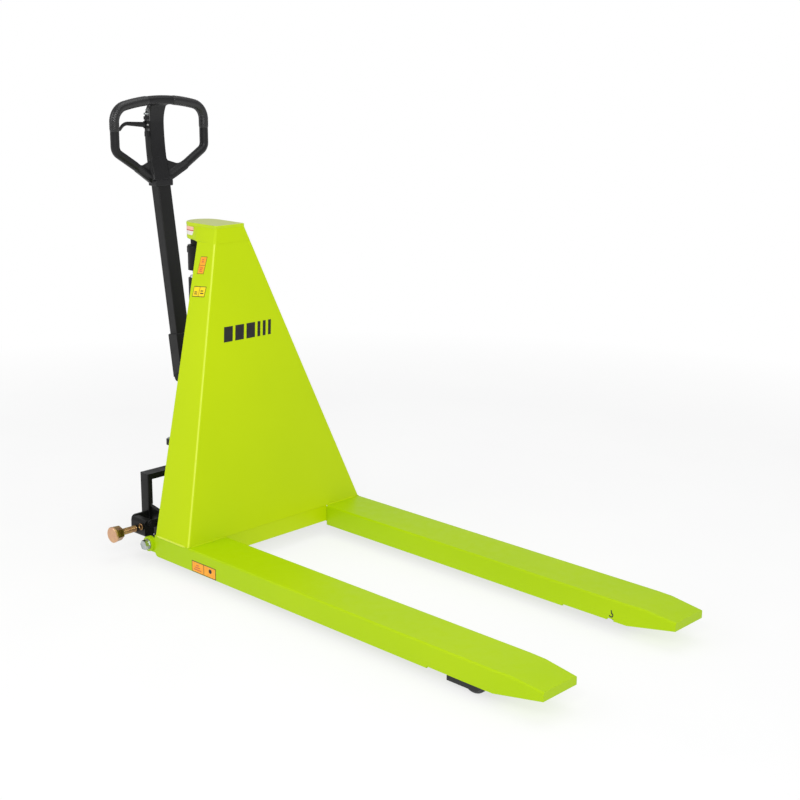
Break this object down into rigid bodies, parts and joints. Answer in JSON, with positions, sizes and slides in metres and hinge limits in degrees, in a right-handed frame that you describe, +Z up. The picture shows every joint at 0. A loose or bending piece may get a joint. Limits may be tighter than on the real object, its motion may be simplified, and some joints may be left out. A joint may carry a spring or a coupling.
{
  "type": "high-lift scissor pallet jack",
  "caption": "Hand-pumped high-lift pallet jack: two long forks on a leaning tower, raised by scissor arms and an upright ram, with a tiller, steering wheels and side feet.",
  "frame": {"origin": "on the floor under the middle of the whole truck's length and width", "axes": "+X along the forks to their tips, +Y to the operator's left, +Z up"},
  "size_m": [1.662, 0.754, 1.2062],
  "materials": {
    "lime_paint": "gloss lime-green powder coat",
    "black_paint": "satin black enamel",
    "arm_paint": "black enamel",
    "black_plastic": "fine-grained black moulding",
    "load_wheel": "black nylon",
    "steer_tyre": "black tread",
    "steer_hub": "painted casting",
    "steel": "bright turned steel",
    "chrome_rod": "hard chrome",
    "zinc_bolt": "bright zinc",
    "gold_zinc": "yellow passivated zinc",
    "spring_steel": "spring steel"
  },
  "bodies": {
    "base": {"base_axle": "steel", "side_plate_right": "black_paint", "side_plate_left": "black_paint", "rear_hoop": "black_paint", "thrust_ring": "steel", "stabiliser_brackets": "black_paint", "stabiliser_pins": "steel"},
    "fork_frame": {"fork_right": "lime_paint", "fork_left": "lime_paint", "tower_panel": "lime_paint", "flange_right": "lime_paint", "flange_left": "lime_paint", "heel_plate": "lime_paint", "tower_beam": "lime_paint", "head_cap": "lime_paint", "top_plate": "lime_paint", "rod_head": "black_paint", "piston_rod": "chrome_rod", "pivot_bolts": "zinc_bolt", "pivot_nuts": "zinc_bolt"},
    "outer_arms": {"outer_arm_right": "arm_paint", "outer_arm_left": "arm_paint", "outer_arm_tie": "arm_paint", "load_wheel_axles": "steel"},
    "inner_arms": {"inner_arm_right": "arm_paint", "inner_arm_left": "arm_paint", "inner_arm_tie": "arm_paint", "scissor_pins": "steel", "roller_axles": "steel"},
    "load_wheel_right": {"load_wheel_right": "load_wheel"},
    "load_wheel_left": {"load_wheel_left": "load_wheel"},
    "channel_roller_right": {"channel_roller_right": "steel"},
    "channel_roller_left": {"channel_roller_left": "steel"},
    "steering": {"steer_column": "black_paint", "axle_bracket": "black_paint", "steer_axle": "steel", "cylinder_tube": "black_paint", "cylinder_gland": "black_paint", "pump_housing": "black_paint", "oil_tank": "black_paint"},
    "steer_wheel_right": {"steer_tyre_right": "steer_tyre", "steer_hub_right": "steer_hub"},
    "steer_wheel_left": {"steer_tyre_left": "steer_tyre", "steer_hub_left": "steer_hub"},
    "middle_stage": {"middle_stage": "chrome_rod"},
    "tiller": {"tiller_clevis": "black_paint", "tiller_tube": "black_paint", "tiller_pin": "steel", "pressure_roller": "steel", "handle_spine": "black_plastic", "handle_loop": "black_plastic", "lever_bracket": "steel"},
    "control_lever": {"control_lever": "black_plastic"},
    "control_rod": {"control_rod": "steel"},
    "pump_plunger": {"pump_plunger": "chrome_rod", "return_spring": "spring_steel"},
    "stabiliser_right": {"stabiliser_block_right": "black_paint", "stabiliser_screw_right": "gold_zinc"},
    "stabiliser_left": {"stabiliser_block_left": "black_paint", "stabiliser_screw_left": "gold_zinc"}
  },
  "joints": [
    {"name": "lift", "type": "hinge", "parent": "base", "child": "inner_arms", "pos_m": [-0.484, 0, 0.038], "axis": [0, -1, 0], "range_deg": [0, 40.2]},
    {"name": "scissor", "type": "hinge", "parent": "inner_arms", "child": "outer_arms", "pos_m": [0.0735, 0, 0.047], "axis": [0, -1, 0], "range_deg": [-80.4, 0]},
    {"name": "frame_level", "type": "hinge", "parent": "outer_arms", "child": "fork_frame", "pos_m": [-0.484, 0, 0.056], "axis": [0, -1, 0], "range_deg": [0, 40.2]},
    {"name": "load_wheel_right_spin", "type": "hinge", "parent": "outer_arms", "child": "load_wheel_right", "pos_m": [0.631, -0.266, 0.038], "axis": [0, 1, 0], "continuous": true},
    {"name": "load_wheel_left_spin", "type": "hinge", "parent": "outer_arms", "child": "load_wheel_left", "pos_m": [0.631, 0.266, 0.038], "axis": [0, 1, 0], "continuous": true},
    {"name": "channel_roller_right_spin", "type": "hinge", "parent": "inner_arms", "child": "channel_roller_right", "pos_m": [0.631, -0.218, 0.056], "axis": [0, 1, 0], "continuous": true},
    {"name": "channel_roller_left_spin", "type": "hinge", "parent": "inner_arms", "child": "channel_roller_left", "pos_m": [0.631, 0.218, 0.056], "axis": [0, 1, 0], "continuous": true},
    {"name": "steer", "type": "hinge", "parent": "base", "child": "steering", "pos_m": [-0.641, 0, 0.2], "axis": [0, 0, 1], "range_deg": [-90, 90]},
    {"name": "steer_wheel_right_spin", "type": "hinge", "parent": "steering", "child": "steer_wheel_right", "pos_m": [-0.641, -0.039, 0.09], "axis": [0, 1, 0], "continuous": true},
    {"name": "steer_wheel_left_spin", "type": "hinge", "parent": "steering", "child": "steer_wheel_left", "pos_m": [-0.641, 0.039, 0.09], "axis": [0, 1, 0], "continuous": true},
    {"name": "cylinder_stage", "type": "slide", "parent": "steering", "child": "middle_stage", "axis": [0, 0, 1], "range_m": [0, 0.36]},
    {"name": "tiller_tilt", "type": "hinge", "parent": "steering", "child": "tiller", "pos_m": [-0.709, 0, 0.425], "axis": [0, -1, 0], "range_deg": [0, 76], "stiffness_Nm_per_rad": 20, "springref_deg": -28.65},
    {"name": "plunger_stroke", "type": "slide", "parent": "steering", "child": "pump_plunger", "axis": [0, 0, -1], "range_m": [0, 0.0151], "deforming": ["return_spring"]},
    {"name": "lever_tilt", "type": "hinge", "parent": "tiller", "child": "control_lever", "pos_m": [-0.808, -0.035, 1.126], "axis": [-1, 0, 0], "range_deg": [-12, 14], "stiffness_Nm_per_rad": 4},
    {"name": "control_rod_slide", "type": "slide", "parent": "tiller", "child": "control_rod", "axis": [-0.1561, 0, 0.9877], "range_m": [-0.006, 0.006]},
    {"name": "stabiliser_right_fold", "type": "hinge", "parent": "base", "child": "stabiliser_right", "pos_m": [-0.559, -0.285, 0.098], "axis": [1, 0, 0], "range_deg": [0, 90]},
    {"name": "stabiliser_left_fold", "type": "hinge", "parent": "base", "child": "stabiliser_left", "pos_m": [-0.559, 0.285, 0.098], "axis": [-1, 0, 0], "range_deg": [0, 90]}
  ],
  "couplings": [
    {"joint": "scissor", "follows": "lift", "ratio": -2},
    {"joint": "frame_level", "follows": "lift", "ratio": 1},
    {"joint": "cylinder_stage", "follows": "lift", "m_per_rad": 0.51},
    {"joint": "stabiliser_right_fold", "follows": "lift", "ratio": 2.238},
    {"joint": "stabiliser_left_fold", "follows": "lift", "ratio": 2.238},
    {"joint": "plunger_stroke", "follows": "tiller_tilt", "m_per_rad": 0.0113},
    {"joint": "control_rod_slide", "follows": "lever_tilt", "m_per_rad": 0.02}
  ]
}
